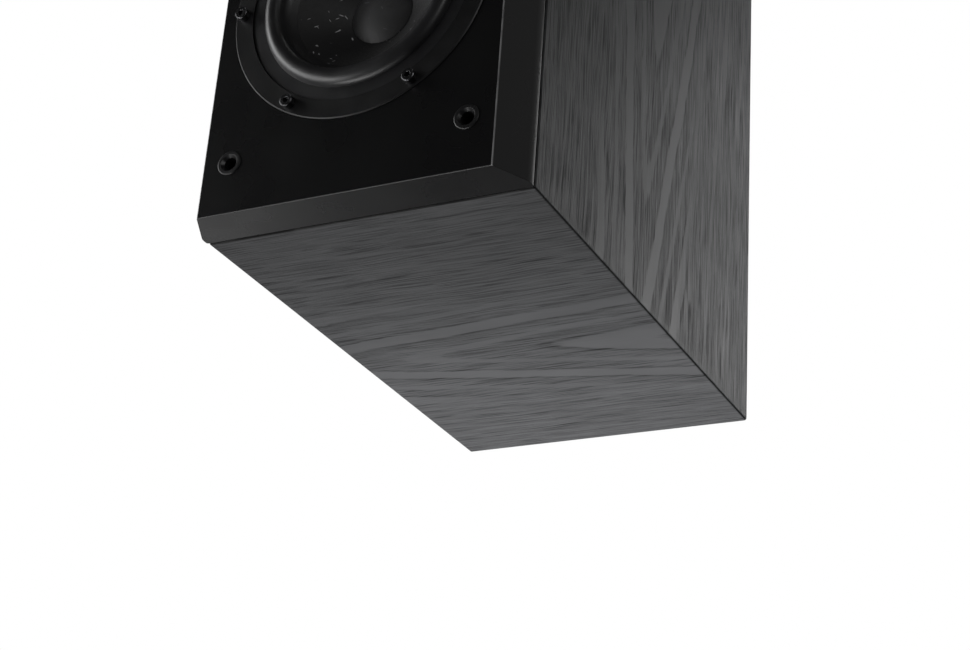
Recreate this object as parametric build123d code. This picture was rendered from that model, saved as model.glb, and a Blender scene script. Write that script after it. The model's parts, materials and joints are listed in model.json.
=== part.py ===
from build123d import *
from math import asin, cos, radians, sin, sqrt, tan
import os

# Two-way bookshelf speaker: a vinyl-wrapped cabinet with a thick bevelled baffle, a woofer, a tweeter,
# a rear port, a crossover and two binding posts.
#
# Millimetres. +X is to the right as seen from the front, +Y points to the back, +Z is up.
# The origin is the centre of the cabinet's footprint, on the face it rests on.
# Inside a driver, depth is measured backwards from the flat front of the baffle.

# Cabinet
WIDTH, HEIGHT, DEPTH = 184.0, 320.0, 328.0
HALF_WIDTH, HALF_DEPTH = WIDTH / 2, DEPTH / 2
WALL = 15.0
EDGE_ROUND = 1.5
CABINET_FRONT_ROUND = 1.2
REAR_CHAMFER = 0.5
FRONT_Y, REAR_Y = -HALF_DEPTH, HALF_DEPTH

# Front baffle: a flat face, a wide bevel down each side, then a short return to the shadow gap
BAFFLE_THICKNESS = 25.1
SHADOW_GAP, SHADOW_GAP_DEPTH = 1.2, 4.0
BEVEL_INSET, BEVEL_DEPTH = 10.2, 20.5
BEVEL_ROUND, BAFFLE_REAR_ROUND, BAFFLE_FRONT_ROUND = 8.0, 1.2, 0.5
TONGUE_LENGTH, TONGUE_CLEARANCE = 5.7, 0.2
BAFFLE_REAR_Y = FRONT_Y + BAFFLE_THICKNESS
CABINET_FRONT_Y = BAFFLE_REAR_Y + SHADOW_GAP
TONGUE_REAR_Y = CABINET_FRONT_Y + TONGUE_LENGTH

# Back panel and brace
BACK_FACE_Y, BACK_THICKNESS = REAR_Y - 3.5, 14.5
BACK_INNER_Y = BACK_FACE_Y - BACK_THICKNESS
BRACE_Y, BRACE_THICKNESS, BRACE_RIM = 5.0, 12.0, 24.0
BRACE_WINDOW_ROUND = 12.0

# Drivers
WOOFER_Z, WOOFER_RING_R, WOOFER_CUTOUT_R = 116.5, 74.0, 60.0
WOOFER_SCREWS, WOOFER_SCREW_PCR = 6, 69.0
TWEETER_Z, TWEETER_PLATE_R, TWEETER_CUTOUT_R = 250.5, 52.0, 37.5
TWEETER_SCREWS, TWEETER_SCREW_PCR = 4, 45.0
RING_PROUD, RING_BACK = 0.8, 3.2
GASKET = 0.8
REBATE_DEPTH, REBATE_CLEARANCE = RING_BACK + GASKET, 0.3
DRIVER_HOLE_R = 2.3
WOOFER_TRAVEL = 5.0
COIL_R = 12.75
POLE_R = 12.1

# Screws with cylindrical hexagon-socket heads, and the tee nuts behind the baffle
SCREW_HEAD_R, SCREW_HEAD_HEIGHT = 3.5, 4.0
SCREW_SOCKET_ACROSS, SCREW_SOCKET_DEPTH = 3.0, 2.2
SCREW_R = 2.0
TEE_BARREL_R, TEE_BARREL_LENGTH, TEE_FLANGE_R, TEE_FLANGE = 2.75, 10.0, 7.0, 1.2
THREAD_CLEARANCE = 0.05

# Grille sockets
SOCKET_X, SOCKET_MARGIN_Z = 66.5, 29.0
SOCKET_FLANGE_R, SOCKET_BARREL_R, SOCKET_BORE_R = 6.75, 5.0, 3.5
SOCKET_PROUD, SOCKET_LENGTH, SOCKET_BORE_DEPTH = 0.6, 14.0, 12.0
SOCKET_CHAMFER = 1.0

# Rear port
PORT_Z, PORT_BORE_R, PORT_INNER_Y = 235.0, 22.0, 60.0
PORT_MOUTH_R, PORT_FLANGE_R, PORT_NECK_R, PORT_TUBE_R = 32.0, 39.0, 30.5, 24.5
PORT_FLANGE = 2.5

# Terminal cup and binding posts
CUP_Z, CUP_PLATE, CUP_DISH = 95.0, (92.0, 72.0), (70.0, 50.0)
CUP_GASKET, CUP_PLATE_THICKNESS, CUP_WALL, CUP_FLOOR_Y = 1.0, 2.4, 2.0, 138.0
CUP_FLOOR = 3.0
CUP_SCREW_X, CUP_SCREW_Z = 40.5, 30.5
POST_X = 9.5
POST_R, BANANA_R, BANANA_BOTTOM_Y = 3.0, 2.0, 149.5
POST_INNER_Y, POST_END_Y = 127.0, 163.0
COLLAR_R, COLLAR_HEIGHT = 7.0, 3.0
KNOB_R, KNOB_START_Y, KNOB_END_Y, KNOB_FLUTES = 6.5, 144.3, 162.3, 12
INSERT_R, RUNNING_CLEARANCE = 4.2, 0.06
WIRE_HOLE_R, WIRE_HOLE_Y = 1.25, 147.2

# Crossover
BOARD = (112.0, 76.0, 1.6)
BOARD_Y, BOARD_Z = 78.0, 23.0
BOARD_TOP_Z = BOARD_Z + BOARD[2]
STANDOFF_R, STANDOFF_INSET = 3.5, 5.0
WIRE_R, LEAD_WIRE_R = 1.2, 0.6


def save(node, *solids):
    """Write one named sub-part."""
    shape = solids[0] if len(solids) == 1 else Compound(children=list(solids))
    export_step(shape, f"parts/{node}.step")


def block(x, y, z):
    """A box between two values on each axis."""
    size = [high - low for low, high in (x, y, z)]
    middle = [(high + low) / 2 for low, high in (x, y, z)]
    return Pos(*middle) * Box(*size)


def along_y(sketch, start, end):
    """Extrude a sketch drawn as (x, z) from start to end along Y."""
    return Pos(0, end, 0) * Rot(90, 0, 0) * extrude(sketch, amount=end - start)


def rod(radius, start, end, x=0.0, z=0.0):
    """A cylinder along Y."""
    return Pos(x, (start + end) / 2, z) * Rot(90, 0, 0) * Cylinder(radius, end - start)


def pillar(radius, x, y, bottom, top):
    """A cylinder along Z."""
    return Pos(x, y, (bottom + top) / 2) * Cylinder(radius, top - bottom)


def turned(*edges):
    """Revolve a closed outline drawn as (radius, depth) round the Y axis."""
    return revolve(make_face(edges), Axis.Y)


def turned_polygon(*points):
    """Revolve a polygon drawn as (radius, depth) round the Y axis."""
    return turned(Polyline(*points, close=True))


def ring(inner, outer, start, end):
    """A flat ring round the Y axis."""
    return turned_polygon((inner, start), (outer, start), (outer, end), (inner, end))


def cap_arc(rim_radius, rim_depth, apex_depth):
    """The arc of a shallow dome, from its rim to its apex on the axis."""
    rise = rim_depth - apex_depth
    radius = (rim_radius**2 + rise**2) / (2 * rise)
    half = asin(rim_radius / radius) / 2
    middle = (radius * sin(half), apex_depth + radius * (1 - cos(half)))
    return ThreePointArc((rim_radius, rim_depth), middle, (0, apex_depth))


def circle_places(count, radius, first_angle=0.0):
    """(x, z) of evenly spaced places on a circle, the angle measured from +X towards +Z."""
    angles = [radians(first_angle + 360 * step / count) for step in range(count)]
    return [(radius * cos(angle), radius * sin(angle)) for angle in angles]


def at_woofer(shape):
    return Pos(0, FRONT_Y, WOOFER_Z) * shape


def at_tweeter(shape):
    return Pos(0, FRONT_Y, TWEETER_Z) * shape


def socket_screw(x, z, head_bottom, tip):
    """A cylindrical-head screw along Y, its head towards the front."""
    head_top = head_bottom - SCREW_HEAD_HEIGHT
    head = rod(SCREW_HEAD_R, head_top, head_bottom, x, z)
    head = chamfer(head.edges().sort_by(Axis.Y)[0], 0.35)
    hexagon = Pos(x, z) * RegularPolygon(SCREW_SOCKET_ACROSS / 2, 6, major_radius=False)
    key_socket = along_y(hexagon, head_top, head_top + SCREW_SOCKET_DEPTH)
    return head - key_socket + rod(SCREW_R, head_bottom, tip, x, z)


# ---------------------------------------------------------------- cabinet
def mitre_wedge(side):
    """The (x, z) region that one cabinet panel fills, cut at 45 degrees at both ends."""
    spare = 5.0
    middle = HEIGHT / 2
    out_x, out_z = HALF_WIDTH + spare, middle + spare
    in_x, in_z = HALF_WIDTH - WALL, middle - WALL
    corners = {
        "bottom": [(-out_x, -out_z), (out_x, -out_z), (in_x, -in_z), (-in_x, -in_z)],
        "top": [(-out_x, out_z), (-in_x, in_z), (in_x, in_z), (out_x, out_z)],
        "left": [(-out_x, -out_z), (-in_x, -in_z), (-in_x, in_z), (-out_x, out_z)],
        "right": [(out_x, -out_z), (out_x, out_z), (in_x, in_z), (in_x, -in_z)],
    }[side]
    face = make_face(Polyline(*corners, close=True))
    return Pos(0, 0, middle) * along_y(face, CABINET_FRONT_Y, REAR_Y)


def cabinet_tube():
    """The four walls before they are parted at their mitres."""
    outline = Pos(0, HEIGHT / 2) * RectangleRounded(WIDTH, HEIGHT, EDGE_ROUND)
    hollow = Pos(0, HEIGHT / 2) * Rectangle(WIDTH - 2 * WALL, HEIGHT - 2 * WALL)
    tube = along_y(outline, CABINET_FRONT_Y, REAR_Y)
    tube = fillet(tube.faces().sort_by(Axis.Y)[0].edges(), CABINET_FRONT_ROUND)
    tube = chamfer(tube.faces().sort_by(Axis.Y)[-1].edges(), REAR_CHAMFER)
    return tube - along_y(hollow, CABINET_FRONT_Y, REAR_Y)


def baffle_outline():
    """The baffle seen from above: front, bevels, and returns to the shadow gap."""
    front_x = HALF_WIDTH - BEVEL_INSET
    bevel_y = FRONT_Y + BEVEL_DEPTH
    corners = [
        (-front_x, FRONT_Y),
        (front_x, FRONT_Y),
        (HALF_WIDTH, bevel_y),
        (HALF_WIDTH, BAFFLE_REAR_Y),
        (-HALF_WIDTH, BAFFLE_REAR_Y),
        (-HALF_WIDTH, bevel_y),
    ]
    rounds = [0, 0, BEVEL_ROUND, BAFFLE_REAR_ROUND, BAFFLE_REAR_ROUND, BEVEL_ROUND]
    return make_face(FilletPolyline(*corners, radius=rounds, close=True))


def socket_places():
    return [(x, z) for z in (SOCKET_MARGIN_Z, HEIGHT - SOCKET_MARGIN_Z) for x in (-SOCKET_X, SOCKET_X)]


def front_baffle():
    slab = extrude(baffle_outline(), amount=HEIGHT)
    slab = fillet(slab.faces().sort_by(Axis.Y)[0].edges(), BAFFLE_FRONT_ROUND)
    land_x, land_z = HALF_WIDTH - SHADOW_GAP_DEPTH, HEIGHT - SHADOW_GAP_DEPTH
    slab += block((-land_x, land_x), (BAFFLE_REAR_Y, CABINET_FRONT_Y), (SHADOW_GAP_DEPTH, land_z))
    inner = WALL + TONGUE_CLEARANCE
    tongue_x = HALF_WIDTH - inner
    slab += block((-tongue_x, tongue_x), (CABINET_FRONT_Y, TONGUE_REAR_Y), (inner, HEIGHT - inner))
    openings = [
        (WOOFER_Z, WOOFER_RING_R, WOOFER_CUTOUT_R),
        (TWEETER_Z, TWEETER_PLATE_R, TWEETER_CUTOUT_R),
    ]
    for centre_z, ring_radius, cutout_radius in openings:
        slab -= rod(ring_radius + REBATE_CLEARANCE, FRONT_Y, FRONT_Y + REBATE_DEPTH, 0, centre_z)
        slab -= rod(cutout_radius, FRONT_Y, TONGUE_REAR_Y, 0, centre_z)
    barrel_start = TONGUE_REAR_Y - TEE_BARREL_LENGTH
    for x, z in circle_places(WOOFER_SCREWS, WOOFER_SCREW_PCR):
        slab -= rod(DRIVER_HOLE_R, FRONT_Y, TONGUE_REAR_Y, x, WOOFER_Z + z)
        slab -= rod(TEE_BARREL_R + THREAD_CLEARANCE, barrel_start, TONGUE_REAR_Y, x, WOOFER_Z + z)
    for x, z in circle_places(TWEETER_SCREWS, TWEETER_SCREW_PCR, 45):
        slab -= rod(SCREW_R + THREAD_CLEARANCE, FRONT_Y, FRONT_Y + 24, x, TWEETER_Z + z)
    for x, z in socket_places():
        slab -= rod(SOCKET_BARREL_R + THREAD_CLEARANCE, FRONT_Y, FRONT_Y + SOCKET_LENGTH + 1, x, z)
    return slab


def back_panel():
    inner_x = HALF_WIDTH - WALL
    panel = block((-inner_x, inner_x), (BACK_INNER_Y, BACK_FACE_Y), (WALL, HEIGHT - WALL))
    panel -= rod(PORT_NECK_R + REBATE_CLEARANCE, BACK_INNER_Y, BACK_FACE_Y, 0, PORT_Z)
    cup_x, cup_z = CUP_DISH[0] / 2 + 0.5, CUP_DISH[1] / 2 + 0.5
    panel -= block((-cup_x, cup_x), (BACK_INNER_Y, BACK_FACE_Y), (CUP_Z - cup_z, CUP_Z + cup_z))
    for x, z in cup_screw_places():
        panel -= rod(1.65, BACK_FACE_Y - 11, BACK_FACE_Y, x, z)
    return panel


def brace():
    """A plate across the middle of the cabinet with two rounded windows."""
    inner_x = HALF_WIDTH - WALL
    plate = block((-inner_x, inner_x), (BRACE_Y, BRACE_Y + BRACE_THICKNESS), (WALL, HEIGHT - WALL))
    window_width = 2 * (inner_x - BRACE_RIM)
    window_height = (HEIGHT - 2 * WALL - 3 * BRACE_RIM) / 2
    window = RectangleRounded(window_width, window_height, BRACE_WINDOW_ROUND)
    for centre_z in (
        WALL + BRACE_RIM + window_height / 2,
        HEIGHT - WALL - BRACE_RIM - window_height / 2,
    ):
        plate -= Pos(0, 0, centre_z) * along_y(window, BRACE_Y, BRACE_Y + BRACE_THICKNESS)
    return plate


def side_wadding(side):
    """A pad of polyester wadding against one cabinet wall."""
    wall_x = HALF_WIDTH - WALL - 0.5
    x = sorted((side * wall_x, side * (wall_x - 12)))
    return block(x, (22, 138), (40, 200))


# ---------------------------------------------------------------- woofer
def woofer_frame():
    """Flange ring, tapered basket with six windows, spider land and motor seat."""
    frame = turned_polygon(
        (63.5, -RING_PROUD), (73.5, -RING_PROUD), (WOOFER_RING_R, 0.5 - RING_PROUD), (WOOFER_RING_R, RING_BACK),
        (59.4, RING_BACK), (59.4, 8), (42, 33), (42, 46), (20, 46), (20, 43.5), (39.5, 43.5),
        (39.5, 35.2), (32.5, 35.2), (32.5, 33.2), (39, 33.2), (56.5, 8.5), (56.5, 0.9), (63.5, 0.9),
    )
    for step in range(WOOFER_SCREWS):
        turn = Rot(0, 30 + 60 * step, 0)
        frame -= turn * block((34, 64), (12, 31), (-14, 14))
        frame -= turn * block((37, 46), (36.5, 42), (-11, 11))
    for x, z in circle_places(WOOFER_SCREWS, WOOFER_SCREW_PCR):
        frame -= rod(DRIVER_HOLE_R, -RING_PROUD, RING_BACK, x, z)
    return at_woofer(frame)


def woofer_gasket():
    gasket = ring(60.5, 73.5, RING_BACK, REBATE_DEPTH)
    for x, z in circle_places(WOOFER_SCREWS, WOOFER_SCREW_PCR):
        gasket -= rod(DRIVER_HOLE_R, RING_BACK, REBATE_DEPTH, x, z)
    return at_woofer(gasket)


def woofer_surround():
    """Flat outer flange, half roll and the lip that is glued to the cone."""
    outline = (
        Line((63.2, 0), (56, 0)),
        ThreePointArc((56, 0), (50.5, -5), (45.2, 0.6)),
        Polyline((45.2, 0.6), (42.5, 2.9), (42.5, 3.6), (46, 1.05)),
        ThreePointArc((46, 1.05), (50.5, -4.1), (55.1, 0.9)),
        Polyline((55.1, 0.9), (63.2, 0.9), (63.2, 0)),
    )
    return at_woofer(turned(*outline))


def woofer_cone():
    cone = turned_polygon((45.4, 1.8), (45.4, 2.8), (COIL_R + 0.1, 27.1), (COIL_R + 0.1, 26))
    return at_woofer(cone)


def woofer_dust_cap():
    outline = (
        cap_arc(17.5, 22.3, 16.6),
        Line((0, 16.6), (0, 17.2)),
        cap_arc(16.9, 22.75, 17.2),
        Line((16.9, 22.75), (17.5, 22.3)),
    )
    return at_woofer(turned(*outline))


def voice_coil_former():
    return at_woofer(ring(COIL_R - 0.3, COIL_R, 24.5, 56))


def voice_coil_winding():
    return at_woofer(ring(COIL_R + 0.02, COIL_R + 0.6, 44.5, 53.5))


def woofer_spider():
    """Corrugated ring that centres the voice coil."""
    thickness, waves, swing = 0.5, 10, 1.3
    inner, outer, level = COIL_R + 0.45, 34.0, 31.6
    pitch = (outer - inner) / waves
    front = [(inner + pitch * step, level + swing * (step % 2)) for step in range(waves + 1)]
    front += [(38.4, level)]
    back = [(radius, depth + thickness) for radius, depth in reversed(front)]
    return at_woofer(turned_polygon(*front, *back))


def woofer_top_plate():
    return at_woofer(ring(13.75, 40, 46, 52))


def woofer_magnet():
    return at_woofer(ring(22, 45, 52, 67))


def woofer_pole_yoke():
    """Back plate and pole piece in one, with a vent through the middle."""
    yoke = turned_polygon((4, 46), (POLE_R - 0.6, 46), (POLE_R, 46.6), (POLE_R, 67), (40, 67), (40, 73), (4, 73))
    return at_woofer(yoke)


def solder_lugs(height, start, end):
    """Two flat tags, side by side, that the wires are soldered to."""
    return [block((x - 1.6, x + 1.6), (start, end), (height - 0.4, height + 0.4)) for x in (-6, 6)]


def woofer_terminal_tab():
    plate = block((-11, 11), (36.4, 38), (42.2, 54))
    plate += block((-4, 4), (38, 46), (42.2, 43.7))
    for lug in solder_lugs(50, 38, 42):
        plate += lug
    return at_woofer(plate)


def woofer_lead_wire(side):
    """Braided lead from the terminal tab through a frame window to the coil former."""
    points = [(side * 6, 36.4, 46), (side * 6, 31, 46), (side * 6, 27, 41), (side * 6, 26.3, 33),
              (side * 6, 28.2, 24), (side * 6, 28.6, 12.9)]
    return at_woofer(tube_along(points, LEAD_WIRE_R))


def woofer_screws():
    return [
        at_woofer(socket_screw(x, z, -RING_PROUD, 31))
        for x, z in circle_places(WOOFER_SCREWS, WOOFER_SCREW_PCR)
    ]


def woofer_tee_nuts():
    nut = ring(SCREW_R + THREAD_CLEARANCE, TEE_BARREL_R, TONGUE_REAR_Y - TEE_BARREL_LENGTH, TONGUE_REAR_Y)
    flange = ring(SCREW_R + THREAD_CLEARANCE, TEE_FLANGE_R, TONGUE_REAR_Y, TONGUE_REAR_Y + TEE_FLANGE)
    places = circle_places(WOOFER_SCREWS, WOOFER_SCREW_PCR)
    return [Pos(x, 0, WOOFER_Z + z) * (nut + flange) for x, z in places]


# ---------------------------------------------------------------- tweeter
def tweeter_faceplate():
    """Round plate with a shallow horn round the dome and a boss behind it."""
    throat_r, throat_depth, horn_r = 16.9, 3.4, 31.0
    outline = (
        ThreePointArc((throat_r, throat_depth), (22.4, 0.6), (horn_r, -RING_PROUD)),
        Polyline(
            (horn_r, -RING_PROUD), (TWEETER_PLATE_R - 0.5, -RING_PROUD), (TWEETER_PLATE_R, 0.5 - RING_PROUD),
            (TWEETER_PLATE_R, RING_BACK), (36, RING_BACK), (36, 6.5), (17.4, 6.5), (17.4, 4.4),
            (throat_r, 4.4), (throat_r, throat_depth),
        ),
    )
    plate = turned(*outline)
    for x, z in circle_places(TWEETER_SCREWS, TWEETER_SCREW_PCR, 45):
        plate -= rod(DRIVER_HOLE_R, -RING_PROUD, RING_BACK, x, z)
    return at_tweeter(plate)


def tweeter_gasket():
    gasket = ring(38.5, 51.5, RING_BACK, REBATE_DEPTH)
    for x, z in circle_places(TWEETER_SCREWS, TWEETER_SCREW_PCR, 45):
        gasket -= rod(DRIVER_HOLE_R, RING_BACK, REBATE_DEPTH, x, z)
    return at_tweeter(gasket)


def tweeter_dome():
    outline = (
        cap_arc(12.7, 5.1, 0.9),
        Line((0, 0.9), (0, 1.25)),
        cap_arc(12.3, 5.4, 1.25),
        Line((12.3, 5.4), (12.7, 5.1)),
    )
    return at_tweeter(turned(*outline))


def tweeter_surround():
    """Half roll between the dome and the plate, with a flat outer edge."""
    outline = (
        ThreePointArc((13.1, 5.1), (14.7, 3.8), (16.3, 5.1)),
        Polyline((16.3, 5.1), (17.2, 5.1), (17.2, 5.4), (16.3, 5.4)),
        ThreePointArc((16.3, 5.4), (14.7, 4.1), (13.1, 5.4)),
        Line((13.1, 5.4), (13.1, 5.1)),
    )
    return at_tweeter(turned(*outline))


def tweeter_coil_former():
    return at_tweeter(ring(12.45, 12.7, 5.5, 13))


def tweeter_winding():
    return at_tweeter(ring(12.72, 13.1, 7, 10))


def tweeter_top_plate():
    return at_tweeter(ring(13.5, 31, 6.5, 10.5))


def tweeter_magnet():
    return at_tweeter(ring(17, 33, 10.5, 18.5))


def tweeter_yoke():
    yoke = turned_polygon((4, 7), (12, 7), (12, 18.5), (31, 18.5), (31, 22.5), (4, 22.5))
    return at_tweeter(yoke)


def tweeter_rear_cup():
    """Damping chamber closed behind the motor."""
    wall = 1.5
    cup = turned_polygon(
        (31, 22.5), (31, 38), (0, 38), (0, 38 - wall), (31 - wall, 38 - wall), (31 - wall, 22.5)
    )
    return at_tweeter(cup)


def tweeter_terminal_tab():
    plate = block((-11, 11), (38, 39.6), (-5, 5))
    for lug in solder_lugs(0, 39.6, 44):
        plate += lug
    return at_tweeter(plate)


def tweeter_screws():
    return [
        at_tweeter(socket_screw(x, z, -RING_PROUD, 23))
        for x, z in circle_places(TWEETER_SCREWS, TWEETER_SCREW_PCR, 45)
    ]


# ---------------------------------------------------------------- grille sockets and port
def grille_socket(x, z):
    """Push-in cup with a rounded rim and a blind hole for a grille pin."""
    rim = SOCKET_FLANGE_R
    outline = (
        Polyline((0, SOCKET_BORE_DEPTH), (SOCKET_BORE_R, SOCKET_BORE_DEPTH), (SOCKET_BORE_R, SOCKET_CHAMFER)),
        Line((SOCKET_BORE_R, SOCKET_CHAMFER), (SOCKET_BORE_R + 1.3, -SOCKET_PROUD)),
        Line((SOCKET_BORE_R + 1.3, -SOCKET_PROUD), (rim - 0.6, -SOCKET_PROUD)),
        TangentArc((rim - 0.6, -SOCKET_PROUD), (rim, 0), tangent=(1, 0)),
        Polyline((rim, 0), (SOCKET_BARREL_R, 0), (SOCKET_BARREL_R, SOCKET_LENGTH), (0, SOCKET_LENGTH)),
        Line((0, SOCKET_LENGTH), (0, SOCKET_BORE_DEPTH)),
    )
    return Pos(x, FRONT_Y, z) * turned(*outline)


def port_tube():
    """Straight duct with a flared mouth at the back and a small flare inside."""
    mouth_y = BACK_FACE_Y + PORT_FLANGE
    outline = (
        TangentArc((PORT_BORE_R, mouth_y - 20), (PORT_MOUTH_R, mouth_y), tangent=(0, 1)),
        Polyline(
            (PORT_MOUTH_R, mouth_y), (PORT_FLANGE_R - 0.8, mouth_y), (PORT_FLANGE_R, mouth_y - 0.8),
            (PORT_FLANGE_R, BACK_FACE_Y), (PORT_NECK_R, BACK_FACE_Y), (PORT_NECK_R, BACK_INNER_Y),
            (PORT_TUBE_R, BACK_INNER_Y - 6), (PORT_TUBE_R, PORT_INNER_Y + 9), (PORT_TUBE_R + 4, PORT_INNER_Y),
            (PORT_BORE_R + 4.5, PORT_INNER_Y),
        ),
        TangentArc((PORT_BORE_R, PORT_INNER_Y + 9), (PORT_BORE_R + 4.5, PORT_INNER_Y), tangent=(0, -1)),
        Line((PORT_BORE_R, PORT_INNER_Y + 9), (PORT_BORE_R, mouth_y - 20)),
    )
    return Pos(0, 0, PORT_Z) * turned(*outline)


# ---------------------------------------------------------------- terminal cup
def cup_screw_places():
    return [(x, CUP_Z + z) for z in (-CUP_SCREW_Z, CUP_SCREW_Z) for x in (-CUP_SCREW_X, CUP_SCREW_X)]


def cup_sketch(size, corner):
    return Pos(0, CUP_Z) * RectangleRounded(*size, corner)


def terminal_cup():
    plate_start = BACK_FACE_Y + CUP_GASKET
    plate_end = plate_start + CUP_PLATE_THICKNESS
    cavity = [side - 2 * CUP_WALL for side in CUP_DISH]
    cup = along_y(cup_sketch(CUP_PLATE, 6), plate_start, plate_end)
    cup = fillet(cup.faces().sort_by(Axis.Y)[-1].edges(), 0.8)
    cup += along_y(cup_sketch(CUP_DISH, 8), CUP_FLOOR_Y, plate_start)
    cup -= along_y(cup_sketch(cavity, 6), CUP_FLOOR_Y + CUP_FLOOR, plate_end)
    for x in (-POST_X, POST_X):
        cup -= rod(POST_R + THREAD_CLEARANCE, CUP_FLOOR_Y, CUP_FLOOR_Y + CUP_FLOOR, x, CUP_Z)
    for x, z in cup_screw_places():
        cup -= Pos(x, 0, z) * cup_screw_cutter(plate_start, plate_end)
    return cup


def cup_screw_cutter(plate_start, plate_end):
    return turned_polygon((0, plate_start), (1.7, plate_start), (1.7, plate_end - 1.7), (3.3, plate_end),
                          (0, plate_end))


def terminal_gasket():
    gasket = along_y(cup_sketch(CUP_PLATE, 6), BACK_FACE_Y, BACK_FACE_Y + CUP_GASKET)
    opening = [side + 1 for side in CUP_DISH]
    gasket -= along_y(cup_sketch(opening, 8), BACK_FACE_Y, BACK_FACE_Y + CUP_GASKET)
    for x, z in cup_screw_places():
        gasket -= rod(1.8, BACK_FACE_Y, BACK_FACE_Y + CUP_GASKET, x, z)
    return gasket


def terminal_screw(x, z):
    """Countersunk cross-head wood screw."""
    top = BACK_FACE_Y + CUP_GASKET + CUP_PLATE_THICKNESS
    screw = turned_polygon((0, BACK_FACE_Y - 10), (1.6, BACK_FACE_Y - 8), (1.6, top - 1.6), (3.15, top - 0.05),
                           (0, top - 0.05))
    for width, length in ((0.8, 3.6), (3.6, 0.8)):
        screw -= block((-width / 2, width / 2), (top - 1.1, top), (-length / 2, length / 2))
    return Pos(x, 0, z) * screw


def post_stud(x):
    """Hollow threaded post: a banana plug goes into its end, a bare wire through its side."""
    stud = rod(POST_R, POST_INNER_Y, POST_END_Y) - rod(BANANA_R, BANANA_BOTTOM_Y, POST_END_Y)
    stud -= pillar(WIRE_HOLE_R, 0, WIRE_HOLE_Y, -POST_R, POST_R)
    return Pos(x, 0, CUP_Z) * stud


def post_nut(x):
    hexagon = RegularPolygon(5, 6, major_radius=False) - Circle(POST_R + THREAD_CLEARANCE)
    return Pos(x, 0, CUP_Z) * along_y(hexagon, CUP_FLOOR_Y - 4, CUP_FLOOR_Y)


def post_solder_tag(x):
    """Flat ring under the nut, folded back into a tail for the wire."""
    start, end = CUP_FLOOR_Y - 5, CUP_FLOOR_Y - 4
    tag = ring(POST_R + THREAD_CLEARANCE, 5.5, start, end) + block((-2, 2), (start, end), (-14, -5))
    return Pos(x, 0, CUP_Z) * tag


def post_collar(x):
    start = CUP_FLOOR_Y + CUP_FLOOR
    collar = ring(POST_R + THREAD_CLEARANCE, COLLAR_R, start, start + COLLAR_HEIGHT)
    return Pos(x, 0, CUP_Z) * collar


def post_insert(x):
    """Brass thread sleeve inside the knob."""
    sleeve = ring(POST_R + RUNNING_CLEARANCE, INSERT_R, KNOB_START_Y, KNOB_END_Y - 2)
    return Pos(x, 0, CUP_Z) * sleeve


def post_knob(x):
    """Fluted plastic cap that turns on its sleeve and clamps the wire."""
    knob = turned_polygon(
        (INSERT_R + RUNNING_CLEARANCE, KNOB_START_Y), (KNOB_R, KNOB_START_Y), (KNOB_R, KNOB_END_Y - 0.8),
        (KNOB_R - 0.8, KNOB_END_Y), (POST_R + 0.4, KNOB_END_Y), (POST_R + 0.4, KNOB_END_Y - 1.9),
        (INSERT_R + RUNNING_CLEARANCE, KNOB_END_Y - 1.9),
    )
    for flute_x, flute_z in circle_places(KNOB_FLUTES, KNOB_R + 0.25):
        knob -= rod(0.7, KNOB_START_Y + 2.5, KNOB_END_Y, flute_x, flute_z)
    return Pos(x, 0, CUP_Z) * knob


# ---------------------------------------------------------------- crossover and wiring
def standoff_places():
    reach_x, reach_y = BOARD[0] / 2 - STANDOFF_INSET, BOARD[1] / 2 - STANDOFF_INSET
    return [(x, BOARD_Y + y) for x in (-reach_x, reach_x) for y in (-reach_y, reach_y)]


def crossover_board():
    width, length, thickness = BOARD
    board = Pos(0, BOARD_Y, BOARD_Z + thickness / 2) * Box(width, length, thickness)
    for x, y in standoff_places():
        board -= pillar(1.6, x, y, BOARD_Z, BOARD_Z + thickness)
    return board


def board_standoff(x, y):
    return pillar(STANDOFF_R, x, y, WALL, BOARD_Z) - pillar(1.45, x, y, WALL + 1, BOARD_Z)


def board_screw(x, y):
    head = fillet(pillar(2.8, x, y, BOARD_TOP_Z, BOARD_TOP_Z + 2).edges().sort_by(Axis.Z)[-1], 0.8)
    return head + pillar(1.4, x, y, WALL + 1.5, BOARD_TOP_Z)


def inductor(x, y, outer, height):
    """Air-core coil standing on the board."""
    top = BOARD_TOP_Z + height
    return pillar(outer, x, y, BOARD_TOP_Z, top) - pillar(outer * 0.45, x, y, BOARD_TOP_Z, top)


def capacitor(y, radius, length):
    """Film capacitor lying across the board on its flattened underside."""
    body = Pos(14, y, BOARD_TOP_Z + radius - 0.6) * Rot(0, 90, 0) * Cylinder(radius, length)
    return body & block((-60, 60), (y - radius, y + radius), (BOARD_TOP_Z, BOARD_TOP_Z + 2 * radius))


def resistor(x, y):
    """Cement-cased resistor."""
    return block((x - 12, x + 12), (y - 3.5, y + 3.5), (BOARD_TOP_Z, BOARD_TOP_Z + 7))


def corner_radii(points):
    """The largest comfortable radius at each corner of a route."""
    radii = []
    for before, corner, after in zip(points, points[1:], points[2:]):
        arriving, leaving = corner - before, after - corner
        turn = radians(arriving.get_angle(leaving))
        radii.append(0.45 * min(arriving.length, leaving.length) / tan(turn / 2))
    return radii


def tube_along(points, radius):
    """A round wire along straight runs joined by tangent arcs."""
    points = [Vector(*point) for point in points]
    radii = corner_radii(points)
    path = FilletPolyline(*points, radius=radii)
    section = Plane(origin=points[0], z_dir=points[1] - points[0]) * Circle(radius)
    print("wire radii", [round(value, 1) for value in radii], "length", round(path.length, 1))
    return sweep(section, path=path)


def input_wire(side):
    """From the post's solder tag down to the board."""
    x = side * POST_X
    return tube_along([(x, CUP_FLOOR_Y - 5, 84), (x, 122, 84), (x, 111, 75), (x, 105, 60), (x, 104, 42),
                       (x, 104, BOARD_TOP_Z)], WIRE_R)


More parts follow.
